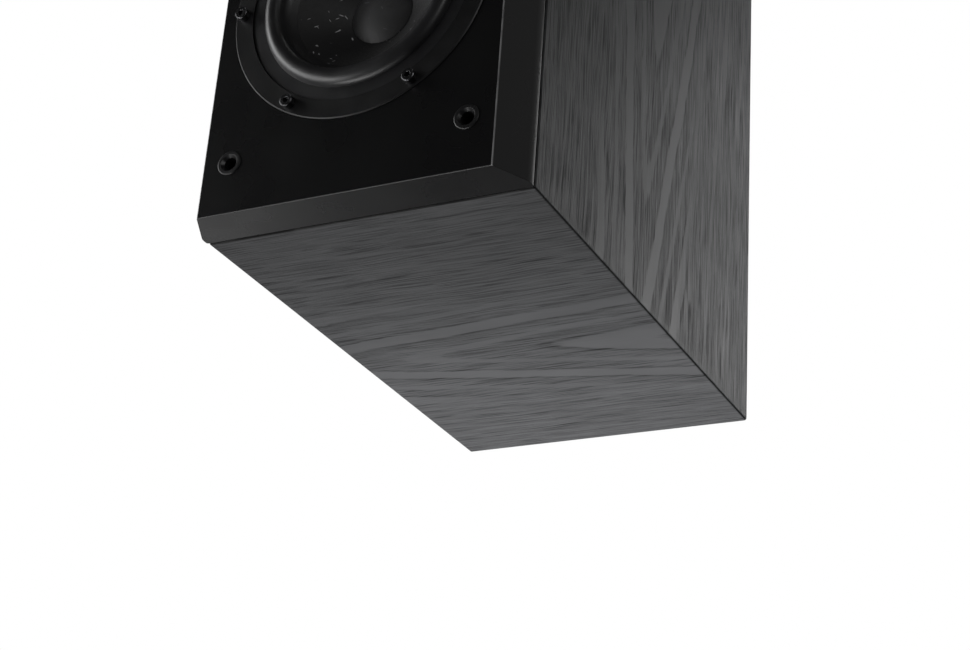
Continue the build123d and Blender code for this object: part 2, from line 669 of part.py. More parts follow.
def woofer_wire(side):
    """From the board forwards through the brace and over the magnet to the woofer's tab."""
    x = side * 6
    return tube_along([(x, 46, BOARD_TOP_Z), (x, 46, 38), (x, 36, 52), (x, 8, 68), (x, -22, 92), (x, -50, 120),
                       (x, -72, 150), (x, -92, WOOFER_Z + 50), (x, FRONT_Y + 42, WOOFER_Z + 50)], WIRE_R)


def tweeter_wire(side):
    """From the board up behind the brace and through its upper window to the tweeter's tab."""
    return tube_along([(side * 16, 50, BOARD_TOP_Z), (side * 16, 50, 58), (side * 15, 40, 98),
                       (side * 14, 31, 142), (side * 13, 26, 186), (side * 11, 4, 220), (side * 8, -34, 243),
                       (side * 6, -74, TWEETER_Z), (side * 6, FRONT_Y + 44, TWEETER_Z)], WIRE_R)


SIDES = (-1, 1)


def main():
    os.makedirs("parts", exist_ok=True)

    walls = cabinet_tube()
    for side in ("bottom", "top", "left", "right"):
        save(f"{side}_panel", walls & mitre_wedge(side))
    save("front_baffle", front_baffle())
    save("back_panel", back_panel())
    save("brace", brace())
    save("side_wadding", *[side_wadding(side) for side in SIDES])

    single_pieces = (
        woofer_frame, woofer_gasket, woofer_surround, woofer_cone, woofer_dust_cap, voice_coil_former,
        voice_coil_winding, woofer_spider, woofer_top_plate, woofer_magnet, woofer_pole_yoke,
        woofer_terminal_tab, tweeter_faceplate, tweeter_gasket, tweeter_dome, tweeter_surround,
        tweeter_coil_former, tweeter_winding, tweeter_top_plate, tweeter_magnet, tweeter_yoke,
        tweeter_rear_cup, tweeter_terminal_tab, port_tube, terminal_cup, terminal_gasket, crossover_board,
    )
    for make in single_pieces:
        save(make.__name__, make())

    save("woofer_lead_wires", *[woofer_lead_wire(side) for side in SIDES])
    save("woofer_screws", *woofer_screws())
    save("woofer_tee_nuts", *woofer_tee_nuts())
    save("tweeter_screws", *tweeter_screws())
    save("grille_sockets", *[grille_socket(x, z) for x, z in socket_places()])

    save("terminal_screws", *[terminal_screw(x, z) for x, z in cup_screw_places()])
    post_places = (-POST_X, POST_X)
    save("post_studs", *[post_stud(x) for x in post_places])
    save("post_nuts", *[post_nut(x) for x in post_places])
    save("post_solder_tags", *[post_solder_tag(x) for x in post_places])
    for colour, x in zip(("black", "red"), post_places):
        save(f"post_collar_{colour}", post_collar(x))
        save(f"post_insert_{colour}", post_insert(x))
        save(f"post_knob_{colour}", post_knob(x))

    save("board_standoffs", *[board_standoff(x, y) for x, y in standoff_places()])
    save("board_screws", *[board_screw(x, y) for x, y in standoff_places()])
    save("inductors", inductor(-34, 96, 15, 14), inductor(-34, 62, 12, 18))
    save("capacitors", capacitor(62, 8, 40), capacitor(84, 7, 34))
    save("resistors", resistor(33, 100), resistor(33, 110))
    save("input_wires", *[input_wire(side) for side in SIDES])
    save("woofer_wires", *[woofer_wire(side) for side in SIDES])
    save("tweeter_wires", *[tweeter_wire(side) for side in SIDES])


main()
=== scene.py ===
import json
import math

import bmesh
import bpy
from mathutils import Matrix, Vector, noise


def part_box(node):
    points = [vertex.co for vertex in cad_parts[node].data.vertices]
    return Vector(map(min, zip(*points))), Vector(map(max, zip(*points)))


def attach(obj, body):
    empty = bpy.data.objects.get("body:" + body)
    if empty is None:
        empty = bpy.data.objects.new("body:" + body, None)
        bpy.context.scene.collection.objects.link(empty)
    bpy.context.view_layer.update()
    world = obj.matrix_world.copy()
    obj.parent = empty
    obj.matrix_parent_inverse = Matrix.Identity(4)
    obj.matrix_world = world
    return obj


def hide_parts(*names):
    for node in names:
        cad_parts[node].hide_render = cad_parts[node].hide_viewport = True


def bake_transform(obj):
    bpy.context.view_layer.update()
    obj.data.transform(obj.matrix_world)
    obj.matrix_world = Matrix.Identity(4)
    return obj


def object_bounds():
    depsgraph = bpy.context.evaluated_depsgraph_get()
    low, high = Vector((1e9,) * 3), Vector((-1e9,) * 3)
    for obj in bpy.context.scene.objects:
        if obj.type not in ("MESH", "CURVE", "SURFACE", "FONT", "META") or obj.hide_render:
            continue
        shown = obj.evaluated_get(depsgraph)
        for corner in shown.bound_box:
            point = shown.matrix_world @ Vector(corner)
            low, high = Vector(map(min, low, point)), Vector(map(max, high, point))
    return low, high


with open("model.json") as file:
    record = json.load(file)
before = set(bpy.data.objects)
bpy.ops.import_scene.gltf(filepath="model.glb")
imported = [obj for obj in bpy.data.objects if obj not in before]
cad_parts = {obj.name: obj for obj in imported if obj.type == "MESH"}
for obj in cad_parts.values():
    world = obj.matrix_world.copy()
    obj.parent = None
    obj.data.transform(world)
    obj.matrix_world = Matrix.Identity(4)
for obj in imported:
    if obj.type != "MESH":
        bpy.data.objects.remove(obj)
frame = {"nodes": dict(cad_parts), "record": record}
CAD_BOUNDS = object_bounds()

MM = 0.001
FULL_TURN = 2 * math.pi
RECORD = frame["record"]
NODES = frame["nodes"]
SLOT_OF = {part["node"]: part["material_slot"] for part in RECORD["subparts"]}


# ---------------------------------------------------------------- shader building
def tint(color, factor):
    return tuple(channel * factor for channel in color)


class Shader:
    """A node material built up step by step round one Principled surface."""

    def __init__(self, name, color=(0.5, 0.5, 0.5), rough=0.5, **settings):
        self.material = bpy.data.materials.new(name)
        self.material.use_nodes = True
        self.tree = self.material.node_tree
        self.surface = self.tree.nodes["Principled BSDF"]
        self.surface.inputs["Base Color"].default_value = (*color, 1)
        self.surface.inputs["Roughness"].default_value = rough
        for socket, value in settings.items():
            self.surface.inputs[socket.replace("_", " ")].default_value = value
        self.position = self.add("ShaderNodeTexCoord").outputs["Object"]

    def add(self, kind, inputs=None, **properties):
        node = self.tree.nodes.new(kind)
        for key, value in properties.items():
            setattr(node, key, value)
        for key, value in (inputs or {}).items():
            self.put(node.inputs[key], value)
        return node

    def put(self, socket, value):
        if isinstance(value, bpy.types.NodeSocket):
            self.tree.links.new(value, socket)
        elif socket.type == "RGBA" and len(value) == 3:
            socket.default_value = (*value, 1)
        else:
            socket.default_value = value

    def math(self, operation, a, b=0.0):
        return self.add("ShaderNodeMath", {0: a, 1: b}, operation=operation).outputs[0]

    def times(self, a, b):
        return self.math("MULTIPLY", a, b)

    def plus(self, a, b):
        return self.math("ADD", a, b)

    def minus(self, a, b):
        return self.math("SUBTRACT", a, b)

    def absolute(self, a):
        return self.math("ABSOLUTE", a)

    def highest(self, first, *others):
        for other in others:
            first = self.math("MAXIMUM", first, other)
        return first

    def axes(self):
        """The three part coordinates, in millimetres."""
        scaled = self.add("ShaderNodeVectorMath", {0: self.position, "Scale": 1 / MM},
                          operation="SCALE")
        split = self.add("ShaderNodeSeparateXYZ", {0: scaled.outputs[0]})
        return split.outputs["X"], split.outputs["Y"], split.outputs["Z"]

    def from_centre(self, centre):
        """How far right of centre and above it, in millimetres across the front."""
        x, _, z = self.axes()
        return self.minus(x, centre[0]), self.minus(z, centre[1])

    def turned_axes(self, x, z, angle):
        """The coordinates x and z turned by angle, in radians."""
        across = self.plus(self.times(x, math.cos(angle)), self.times(z, math.sin(angle)))
        along = self.minus(self.times(z, math.cos(angle)), self.times(x, math.sin(angle)))
        return across, along

    def vector(self, x=0.0, y=0.0, z=0.0):
        return self.add("ShaderNodeCombineXYZ", {"X": x, "Y": y, "Z": z}).outputs[0]

    def noise(self, size, detail=2.0, rough=0.5):
        """Noise from 0 to 1 whose blobs are about size millimetres across."""
        return self.noise_at(self.position, size * MM, detail, rough)

    def noise_at(self, vector, size=1.0, detail=2.0, rough=0.5):
        """Noise from 0 to 1 whose blobs are about size units of the vector across."""
        node = self.add("ShaderNodeTexNoise",
                        {"Vector": vector, "Scale": 1 / size, "Detail": detail, "Roughness": rough})
        return node.outputs["Fac"]

    def drawn_out(self, u, v, across, along, seed, detail=2.0):
        """Noise whose blobs are about 1 / across wide in u and 1 / along long in v."""
        place = self.vector(self.times(u, across), self.times(v, along), seed)
        return self.noise_at(place, detail=detail)

    def step(self, value, low, high, to_low=0.0, to_high=1.0):
        """A smooth step from to_low to to_high as value goes from low to high."""
        node = self.add(
            "ShaderNodeMapRange",
            {"Value": value, "From Min": low, "From Max": high,
             "To Min": to_low, "To Max": to_high},
            interpolation_type="SMOOTHSTEP",
        )
        return node.outputs["Result"]

    def mix(self, factor, a, b):
        node = self.add("ShaderNodeMix", {"Factor": factor}, data_type="RGBA")
        self.put(node.inputs[6], a)
        self.put(node.inputs[7], b)
        return node.outputs[2]

    def tones(self, factor, color, low, high):
        """The colour from low to high times its strength, as factor goes from 0 to 1."""
        return self.mix(factor, tint(color, low), tint(color, high))

    def scale_color(self, color, factor):
        grey = self.add("ShaderNodeCombineColor",
                        {"Red": factor, "Green": factor, "Blue": factor}).outputs[0]
        node = self.add("ShaderNodeMix", {"Factor": 1.0}, data_type="RGBA", blend_type="MULTIPLY")
        self.put(node.inputs[6], color)
        self.put(node.inputs[7], grey)
        return node.outputs[2]

    def color(self, value):
        self.put(self.surface.inputs["Base Color"], value)

    def rough(self, value):
        self.put(self.surface.inputs["Roughness"], value)

    def bump(self, height, depth, edge=0.2):
        """Relief of depth millimetres where height goes from 0 to 1, on edges worn to a radius."""
        node = self.add("ShaderNodeBump",
                        {"Height": height, "Distance": depth * MM, "Strength": 1.0})
        if edge:
            worn = self.add("ShaderNodeBevel", {"Radius": edge * MM}, samples=4)
            self.put(node.inputs["Normal"], worn.outputs[0])
        self.put(self.surface.inputs["Normal"], node.outputs[0])


HEART = 7.0             # distance of the cut board from the tree's heart
LEAN = 0.17             # how fast the arches close along the grain
AXIS_LEAN = 0.10        # how far the middle of the arches leans along the grain
SWAY = 9.0              # how far the grain wanders from side to side, in millimetres
RING_WIDTH = 38.0       # from one smooth band to the next
FIRST_RING = 6.5        # how far the first band is moved in towards the heart
FIGURE = (48.0, 75.0)   # where the arches fade out, from their middle
GROUND_TONE = 1.22      # tone of the vinyl between its marks, as a factor on ASH
PORE, FINE, STREAK, RIM = 0.20, 0.34, 0.38, 0.24    # how much each mark takes from that tone
CLOUD = 0.07            # slow change in tone
VINYL_ROUGH, PORE_ROUGH = 0.42, 0.25    # roughness, and what a pore adds to it
PORE_RELIEF = 0.06      # depth of the pores, in millimetres
FOLD = 0.6              # width of the dark line where the vinyl folds round an edge
FOLD_TONE = 0.2         # tone in that line
SIDE_GROOVE_SHADE, BASE_GROOVE_SHADE = 0.12, 0.8        # width of the painted shadow beside the baffle


def grained(name, across, along, centre, tip, face, seed, shade=None, fold=None, seam=SIDE_GROOVE_SHADE):
    """Black-ash vinyl, whose rings show as nested arches that point down the along axis.

    across and along are 0, 1 or 2 for the part's axes. centre is the middle of the figure, and
    tip is where along the grain one of its arches ends. face is the (middle, half size) of the
    box along the third axis: the figure runs on from the face round the edges of the board.
    shade and fold turn the axes into factors on the tone: shade paints light and shadow along the
    board, and fold darkens the folds. seam is how far behind the cabinet's front edge the vinyl is
    painted black, as painted shadow in the groove beside the baffle. Lengths are in millimetres.
    """
    shader = Shader(name, rough=0.5, Specular_IOR_Level=0.16)
    axes = shader.axes()
    middle, half = face
    inward = shader.absolute(shader.minus(axes[3 - across - along], middle))
    flat = shader.minus(shader.plus(axes[across], shader.minus(half, inward)), centre)
    v = axes[along]
    climb = shader.minus(v, tip)
    wander = shader.drawn_out(flat, v, 0.03, 0.011, seed)
    sway = shader.times(shader.minus(wander, 0.5), SWAY)
    u = shader.plus(shader.minus(flat, shader.times(climb, AXIS_LEAN)), sway)
    reach = shader.math("SQRT", shader.plus(shader.times(u, u), HEART * HEART))
    ring = shader.minus(reach, shader.times(climb, LEAN))

    # smooth late-wood bands, with a fainter one between each two and thin ones along the grain
    fray = shader.drawn_out(u, v, 0.6, 0.05, seed + 5)
    ragged = shader.times(shader.minus(fray, 0.5), 0.09)
    first = HEART - FIRST_RING - RING_WIDTH / 2
    turn = shader.math("FRACT", shader.math("DIVIDE", shader.minus(ring, first), RING_WIDTH))
    off_band = shader.plus(shader.absolute(shader.minus(turn, 0.5)), ragged)
    wide = shader.step(off_band, 0.115, 0.145, 1.0, 0.0)
    between = shader.step(off_band, 0.43, 0.46, 0.0, 0.8)
    figure = shader.step(shader.absolute(u), *FIGURE, 1.0, 0.0)
    thin_place = shader.vector(shader.times(u, 0.16), seed + 9.0, shader.times(v, 0.003))
    thin = shader.step(shader.noise_at(thin_place, detail=1.0), 0.60, 0.66, 0.0, 0.6)
    band = shader.highest(shader.times(shader.highest(wide, between), figure), thin)
    rim = shader.times(shader.step(off_band, 0.135, 0.15),
                       shader.step(off_band, 0.175, 0.21, 1.0, 0.0))
    rim = shader.times(rim, figure)

    # dark marks that run with the grain, packed between the bands: pores, finer ones, streaks
    grain = shader.plus(flat, shader.times(sway, 0.7))
    pore_field = shader.drawn_out(grain, v, 1.3, 0.028, seed + 8.0, 1.5)
    fine_field = shader.drawn_out(grain, v, 2.3, 0.013, seed + 12.0, 1.5)
    streak_field = shader.drawn_out(grain, v, 0.42, 0.012, seed + 25.0)
    off_streak = shader.absolute(shader.minus(streak_field, 0.5))
    streak = shader.times(shader.step(off_streak, 0.015, 0.045, 1.0, 0.0),
                          shader.step(pore_field, 0.40, 0.52))
    clear = shader.minus(1.0, band)
    pore = shader.times(shader.step(pore_field, 0.53, 0.56), clear)
    fine = shader.times(shader.step(fine_field, 0.48, 0.58),
                        shader.minus(1.0, shader.times(band, 0.9)))
    streak = shader.times(streak, clear)

    level = GROUND_TONE
    for mark, darkness in ((pore, PORE), (fine, FINE), (streak, STREAK), (rim, RIM)):
        level = shader.minus(level, shader.times(mark, darkness))
    cloud = shader.drawn_out(u, v, 0.05, 0.014, seed + 17, 3.0)
    level = shader.times(level, shader.step(cloud, 0.3, 0.7, 1 - CLOUD, 1 + CLOUD))
    # shade is painted light and shadow along the board; fold is the dark line at the folds
    for factor in (shade, fold):
        if factor:
            level = shader.times(level, factor(shader, axes))
    # painted shadow: the vinyl turns black at the cabinet's front edge, in the groove beside the
    # baffle
    painted_groove_shade = shader.step(axes[1], PANEL_FRONT + seam, PANEL_FRONT + seam * 1.5)
    shader.color(shader.scale_color(shader.scale_color(ASH, level), painted_groove_shade))

    relief = shader.minus(1.0, shader.highest(pore, shader.times(fine, 0.6)))
    shader.rough(shader.plus(VINYL_ROUGH, shader.times(shader.minus(1.0, relief), PORE_ROUGH)))
    shader.bump(relief, PORE_RELIEF, edge=0.0)
    return shader.material


def moulded(name, color, rough=0.5, grain=0.25, depth=0.01, vary=0.12, blotch=14.0, edge=0.2,
            **settings):
    """Plastic, paint or rubber: fine surface grain, with slow change in tone and gloss."""
    shader = Shader(name, color, rough, **settings)
    fine = shader.noise(grain, 2.0, 0.6)
    slow = shader.noise(blotch, 3.0)
    shader.color(shader.tones(slow, color, 1 - vary, 1 + vary))
    shader.rough(shader.plus(rough, shader.times(shader.minus(slow, 0.5), 0.18)))
    shader.bump(fine, depth, edge)
    return shader.material


def painted_baffle(name, color, rough):
    """Satin black paint with a thin grey highlight painted along the two front creases."""
    shader = Shader(name, color, rough, Specular_IOR_Level=0.42)
    x, y, _ = shader.axes()
    grain = shader.noise(0.5, 2.0, 0.6)
    slow = shader.noise(40.0, 3.0)
    paint = shader.tones(slow, color, 0.85, 1.15)
    # painted highlight: a thin grey line in patches along each front crease
    to_crease = shader.absolute(shader.minus(shader.absolute(x), CREASE_X))
    line = shader.step(to_crease, CREASE_HIGHLIGHT_WIDTH * 0.5, CREASE_HIGHLIGHT_WIDTH, 1.0, 0.0)
    front = FRONT_Y / MM
    line = shader.times(line, shader.step(y, front + 0.1, front + CREASE_HIGHLIGHT_WIDTH * 2, 1.0, 0.0))
    patchy = shader.step(shader.noise(9.0), 0.3, 0.65, 0.6, 1.0)
    shader.color(shader.mix(shader.times(line, patchy), paint, CREASE_HIGHLIGHT_GREY))
    shader.rough(shader.plus(rough, shader.times(shader.minus(slow, 0.5), 0.12)))
    shader.bump(grain, 0.0015, 0.3)
    return shader.material


def metal(name, color, rough=0.3, grain=0.4):
    """Bare or plated metal with fine tool marks and a slow change in tone."""
    shader = Shader(name, color, rough, Metallic=1.0)
    marks = shader.noise(grain, 3.0, 0.6)
    shader.color(shader.tones(shader.noise(6.0), color, 0.9, 1.1))
    shader.rough(shader.step(marks, 0.3, 0.7, rough * 0.75, rough * 1.3))
    shader.bump(marks, 0.006)
    return shader.material


def fibrous(name, color, rough, fibre, length, vary, depth, **settings):
    """Paper, felt or board made of fibres that lie every way, of a width and a length."""
    shader = Shader(name, color, rough, **settings)
    x, y, z = shader.axes()
    layers = []
    for angle in (0.3, 1.4, 2.5):
        across, along = shader.turned_axes(x, z, angle)
        place = shader.vector(shader.math("DIVIDE", across, fibre),
                              shader.math("DIVIDE", along, length),
                              shader.math("DIVIDE", y, fibre * 2))
        layers.append(shader.noise_at(place))
    level = shader.step(shader.highest(*layers), 0.5, 0.75)
    shader.color(shader.tones(level, color, 1 - vary, 1 + vary))
    shader.bump(level, depth)
    return shader.material


def woven(name, color, pitch, centre, rough, depth):
    """Cloth with round threads crossing at right angles, in the plane of the front."""
    shader = Shader(name, color, rough)
    waves = []
    for place in shader.from_centre(centre):
        turn = shader.times(place, math.pi / pitch)
        waves.append(shader.absolute(shader.math("SINE", turn)))
    threads = shader.highest(*waves)
    slub = shader.step(shader.noise(pitch * 6), 0.2, 0.8, 0.6, 1.0)
    shader.color(shader.tones(shader.times(threads, slub), color, 0.45, 1.15))
    shader.bump(threads, depth)
    return shader.material


def wound(name, color, pitch, axis, rough=0.3):
    """Enamelled copper: round turns side by side along one of the part's axes, with painted shadow
    in the grooves between turns.
    """
    shader = Shader(name, color, rough, Metallic=1.0)
    turn = shader.times(shader.axes()[axis], math.pi / pitch)
    thread = shader.absolute(shader.math("SINE", turn))
    # painted shadow: darkest in the grooves between the turns, times a slow random change in tone
    shade = shader.times(shader.step(thread, 0.0, 0.6, 0.35, 1.0),
                         shader.step(shader.noise(5.0), 0.2, 0.8, 0.8, 1.1))
    shader.color(shader.scale_color(color, shade))
    shader.bump(thread, pitch * 0.3)
    return shader.material


def flecked_pulp(name, color, fleck, rough, amount, centre):
    """Pressed black pulp with a slight sheen and sparse bright mineral flecks, in loose groups."""
    shader = Shader(name, color, rough, Specular_IOR_Level=0.5)
    x, z = shader.from_centre(centre)
    strokes = []
    for index, angle in enumerate((0.5, 1.15, 2.3)):
        across, along = shader.turned_axes(x, z, angle)
        field = shader.drawn_out(across, along, 0.6, 0.15, 7.0 * index, 1.0)
        strokes.append(shader.step(field, 0.725, 0.735))
    groups = shader.step(shader.noise(9.0, 1.0), 0.45, 0.55, 0.0, amount)
    shine = shader.times(shader.highest(*strokes), groups)
    pulp = shader.noise(1.3, 4.0, 0.65)
    dark = shader.tones(shader.times(pulp, shader.noise(20.0)), color, 0.7, 1.9)
    shader.color(shader.mix(shine, dark, fleck))
    shader.rough(shader.step(pulp, 0.3, 0.7, rough - 0.08, rough + 0.10))
    shader.bump(pulp, 0.04)
    return shader.material


def stretched_rubber(name, color, rough, centre):
    """Glossy moulded rubber with very faint rings from its mould and a slow change in gloss."""
    shader = Shader(name, color, rough, Specular_IOR_Level=0.6)
    x, z = shader.from_centre(centre)
    radius = shader.math("SQRT", shader.plus(shader.times(x, x), shader.times(z, z)))
    rings = shader.noise_at(shader.vector(shader.times(radius, 2.2)))
    slow = shader.noise(11.0, 3.0)
    shader.color(shader.tones(slow, color, 0.85, 1.2))
    shader.rough(shader.step(slow, 0.25, 0.75, rough - 0.04, rough + 0.06))
    shader.bump(rings, 0.003, edge=0.0)
    return shader.material


# ---------------------------------------------------------------- finishes
def centre_of(node):
    """The middle of a CAD node's box, in the part frame."""
    low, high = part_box(node)
    return (low + high) / 2


WOOFER = centre_of("woofer_frame")
TWEETER = centre_of("tweeter_faceplate")
FRONT_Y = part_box("front_baffle")[0].y
SIDE_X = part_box("right_panel")[1].x / MM
PANEL_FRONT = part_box("right_panel")[0].y / MM
BACK_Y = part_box("back_panel")[1].y / MM
TOP_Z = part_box("top_panel")[1].z / MM
WOOFER_MM = (WOOFER.x / MM, WOOFER.z / MM)
TWEETER_MM = (TWEETER.x / MM, TWEETER.z / MM)
ASH = (0.084, 0.085, 0.088)
CREASE_X = 81.8             # where the front face turns into the bevel
CREASE_HIGHLIGHT_WIDTH = 0.42          # half width of the painted highlight line there
# colour of the painted highlight on the creases
CREASE_HIGHLIGHT_GREY = (0.42, 0.42, 0.425)


def side_painted_light(shader, axes):
    """Lighter to the rear: painted light along the side, darker at the front and brighter at the
    back.
    """
    return shader.step(axes[1], -140.0, 170.0, 0.62, 1.22)


def base_painted_light(shader, axes):
    """Lighter to the rear: painted light along the underside, darker at the front and brighter at
    the back.
    """
    return shader.step(axes[1], -140.0, 160.0, 0.68, 1.85)


def side_fold(shader, axes):
    """Dark along the side's lower edge, where the vinyl folds under."""
    return shader.step(axes[2], FOLD, FOLD * 1.6, FOLD_TONE, 1.0)


def base_fold(shader, axes):
    """Dark along the left and right edges, where the vinyl folds up the sides."""
    reach = shader.absolute(axes[0])
    return shader.step(reach, SIDE_X - FOLD * 1.6, SIDE_X - FOLD, 1.0, FOLD_TONE)


FINISHES = {
    "baffle_finish": painted_baffle("baffle_finish", (0.0036, 0.0036, 0.0039), 0.28),
    "bare_board": fibrous("bare_board", (0.42, 0.30, 0.18), 0.9, 0.35, 3.0, 0.18, 0.03),
    "wadding": fibrous("wadding", (0.80, 0.80, 0.77), 0.95, 0.35, 14.0, 0.15, 0.3,
                       Sheen_Weight=0.3),
    "tab_board": fibrous("tab_board", (0.20, 0.09, 0.03), 0.55, 0.4, 4.0, 0.2, 0.01),
    "driver_metal": moulded("driver_metal", (0.0036, 0.0036, 0.0040), 0.38,
                            grain=0.35, depth=0.02, vary=0.2, blotch=10.0),
    "gasket_foam": moulded("gasket_foam", (0.03, 0.03, 0.03), 0.9,
                           grain=0.5, depth=0.15, vary=0.3),
    "magnet": moulded("magnet", (0.035, 0.035, 0.038), 0.62,
                      grain=0.8, depth=0.05, vary=0.25, blotch=6.0),
    "black_screw": moulded("black_screw", (0.11, 0.11, 0.115), 0.26,
                           grain=0.4, depth=0.008, vary=0.3, blotch=3.0, edge=0.4, Metallic=1.0),
    "black_plastic": moulded("black_plastic", (0.010, 0.010, 0.0105), 0.30,
                             grain=0.4, depth=0.015, vary=0.15, blotch=12.0),
    "red_plastic": moulded("red_plastic", (0.42, 0.008, 0.008), 0.3,
                           grain=0.6, depth=0.008, vary=0.1, blotch=8.0),
    "capacitor_film": moulded("capacitor_film", (0.50, 0.38, 0.04), 0.32,
                              grain=1.5, depth=0.03, vary=0.1),
    "cement": moulded("cement", (0.72, 0.71, 0.66), 0.85,
                      grain=0.6, depth=0.08, vary=0.08, blotch=4.0),
    "wire_jacket": moulded("wire_jacket", (0.35, 0.015, 0.015), 0.38,
                           grain=0.8, depth=0.01, vary=0.12),
    "surround_rubber": stretched_rubber("surround_rubber", (0.011, 0.011, 0.012), 0.38, WOOFER_MM),
    "cone_pulp": flecked_pulp("cone_pulp", (0.021, 0.021, 0.0215), (0.6, 0.6, 0.61),
                              0.48, 1.0, WOOFER_MM),
    "dust_cap": flecked_pulp("dust_cap", (0.045, 0.045, 0.046), (0.2, 0.2, 0.21),
                             0.5, 0.35, WOOFER_MM),
    "spider_cloth": woven("spider_cloth", (0.55, 0.36, 0.12), 0.7, WOOFER_MM, 0.8, 0.08),
    "dome_silk": woven("dome_silk", (0.016, 0.016, 0.017), 0.32, TWEETER_MM, 0.55, 0.03),
    "coil_former": metal("coil_former", (0.80, 0.80, 0.81)),
    "plated_steel": metal("plated_steel", (0.60, 0.60, 0.58), 0.3, 0.5),
    "gold_brass": metal("gold_brass", (0.86, 0.60, 0.24), 0.22, 0.3),
    "copper": wound("copper", (0.72, 0.33, 0.15), 0.5, 1),
}
SIDE_GRAIN = grained("vinyl_wrap_sides", 1, 2, 5.0, 148.0, (0.0, SIDE_X), 2.0,
                     side_painted_light, side_fold)
BASE_GRAIN = grained("vinyl_wrap_base", 1, 0, 30.0, 20.0, (TOP_Z / 2, TOP_Z / 2), 31.0,
                     base_painted_light, base_fold, BASE_GROOVE_SHADE)
BACK_GRAIN = grained("vinyl_wrap_back", 0, 2, 10.0, 90.0, (0.0, BACK_Y), 57.0)
WRAPPED = {
    "left_panel": SIDE_GRAIN,
    "right_panel": SIDE_GRAIN,
    "bottom_panel": BASE_GRAIN,
    "top_panel": BASE_GRAIN,
    "back_panel": BACK_GRAIN,
}


def dress(obj, material):
    obj.data.materials.clear()
    obj.data.materials.append(material)


for node_name, node in NODES.items():
    dress(node, WRAPPED.get(node_name) or FINISHES[SLOT_OF[node_name]])


# ---------------------------------------------------------------- turned pieces
def arc(start, middle, end, steps):
    """Points along the circle through three places, from start to end."""
    (ax, ay), (bx, by), (cx, cy) = start, middle, end
    a, b, c = ax**2 + ay**2, bx**2 + by**2, cx**2 + cy**2
    d = 2 * (ax * (by - cy) + bx * (cy - ay) + cx * (ay - by))
    ux = (a * (by - cy) + b * (cy - ay) + c * (ay - by)) / d
    uy = (a * (cx - bx) + b * (ax - cx) + c * (bx - ax)) / d
    radius = math.hypot(ax - ux, ay - uy)
    first = math.atan2(ay - uy, ax - ux)
    last = math.atan2(cy - uy, cx - ux)
    through = math.atan2(by - uy, bx - ux)
    sweep = (last - first) % FULL_TURN
    if (through - first) % FULL_TURN > sweep:
        sweep -= FULL_TURN
    angles = [first + sweep * step / steps for step in range(steps + 1)]
    return [(ux + radius * math.cos(angle), uy + radius * math.sin(angle)) for angle in angles]


def within(points, low=0.0, high=math.inf):
    """The points whose radius lies between low and high."""
    return [point for point in points if low < point[0] < high]


def piece(name, mesh, material, sharp=32):
    """A shaded object from a bmesh, with its edges over sharp degrees kept crisp."""
    data = bpy.data.meshes.new(name)
    mesh.to_mesh(data)
    mesh.free()
    data.polygons.foreach_set("use_smooth", [True] * len(data.polygons))
    data.set_sharp_from_angle(angle=math.radians(sharp))
    data.materials.append(material)
    obj = bpy.data.objects.new(name, data)
    bpy.context.scene.collection.objects.link(obj)
    return obj


def skin(mesh, here, there):
    """Faces between two rings of the same number of vertices."""
    for k in range(len(here)):
        m = (k + 1) % len(here)
        mesh.faces.new((here[k], here[m], there[m], there[k]))


def close_ends(mesh, rings):
    mesh.faces.new(rings[0])
    mesh.faces.new(list(reversed(rings[-1])))


def turned(name, outline, centre, material, segments=192, span=None):
    """A solid turned round the driver's axis from a closed outline of (radius, depth).

    Both are in millimetres, and depth is measured back from the baffle's front. span is the
    (first, last) angle of a part turn, in radians.
    """
    mesh = bmesh.new()
    first, last = span or (0.0, FULL_TURN)
    count = segments + 1 if span else segments
    rings = []
    for index in range(count):
        angle = first + (last - first) * index / segments
        rings.append([
            mesh.verts.new((centre.x + r * MM * math.cos(angle), FRONT_Y + d * MM,
                            centre.z + r * MM * math.sin(angle)))
            for r, d in outline
        ])
    for index in range(segments):
        skin(mesh, rings[index], rings[(index + 1) % count])
    if span:
        close_ends(mesh, rings)
    bmesh.ops.recalc_face_normals(mesh, faces=mesh.faces)
    return piece(name, mesh, material)


def half_roll(name, outline, start, end, centre, body, node, slot_name):
    """Half of a driver's roll, which meets the other half at the crest.

    start and end, the depths at the cabinet and at the moving part, are not used.
    """
    obj = turned(name, outline, centre, FINISHES[slot_name])
    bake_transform(obj)
    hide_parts(node)


# woofer roll: from the flange at radius 56 over the crest, in front of the baffle, to radius 45
# inside it, and from there smoothly down the lip on to the cone
WOOFER_ROLL = (WOOFER, "woofer_diaphragm", "woofer_surround", "surround_rubber")
CREST_R, CREST_FRONT, CREST_BACK = 50.5, -5.0, -4.1
BESIDE = 0.06           # a point just beside the crest keeps the meeting of the halves smooth
BESIDE_DROP = 0.0003
LIP_TOP = 45.9
FLANGE = [(63.2, 0.0), (63.2, 0.9)]
front_roll = arc((56, 0), (CREST_R, CREST_FRONT), (45.2, 0.6), 36)
back_roll = arc((46, 1.05), (CREST_R, CREST_BACK), (55.1, 0.9), 36)
crest = [(CREST_R, CREST_FRONT), (CREST_R, CREST_BACK)]
beside_out = (CREST_R + BESIDE, CREST_FRONT + BESIDE_DROP)
beside_in = (CREST_R - BESIDE, CREST_FRONT + BESIDE_DROP)
lip = [
    (45.5, -0.2), (45.0, 0.75), (44.4, 1.65), (43.7, 2.45), (42.9, 3.2), (42.0, 3.98),
    (40.9, 4.92), (40.4, 5.38), (40.4, 5.7), (42.4, 4.3), (44.6, 2.6),
]
outer_half = [
    FLANGE[0], *within(front_roll, CREST_R + BESIDE * 2), beside_out, *crest,
    *within(back_roll, CREST_R + BESIDE * 2), FLANGE[1],
]
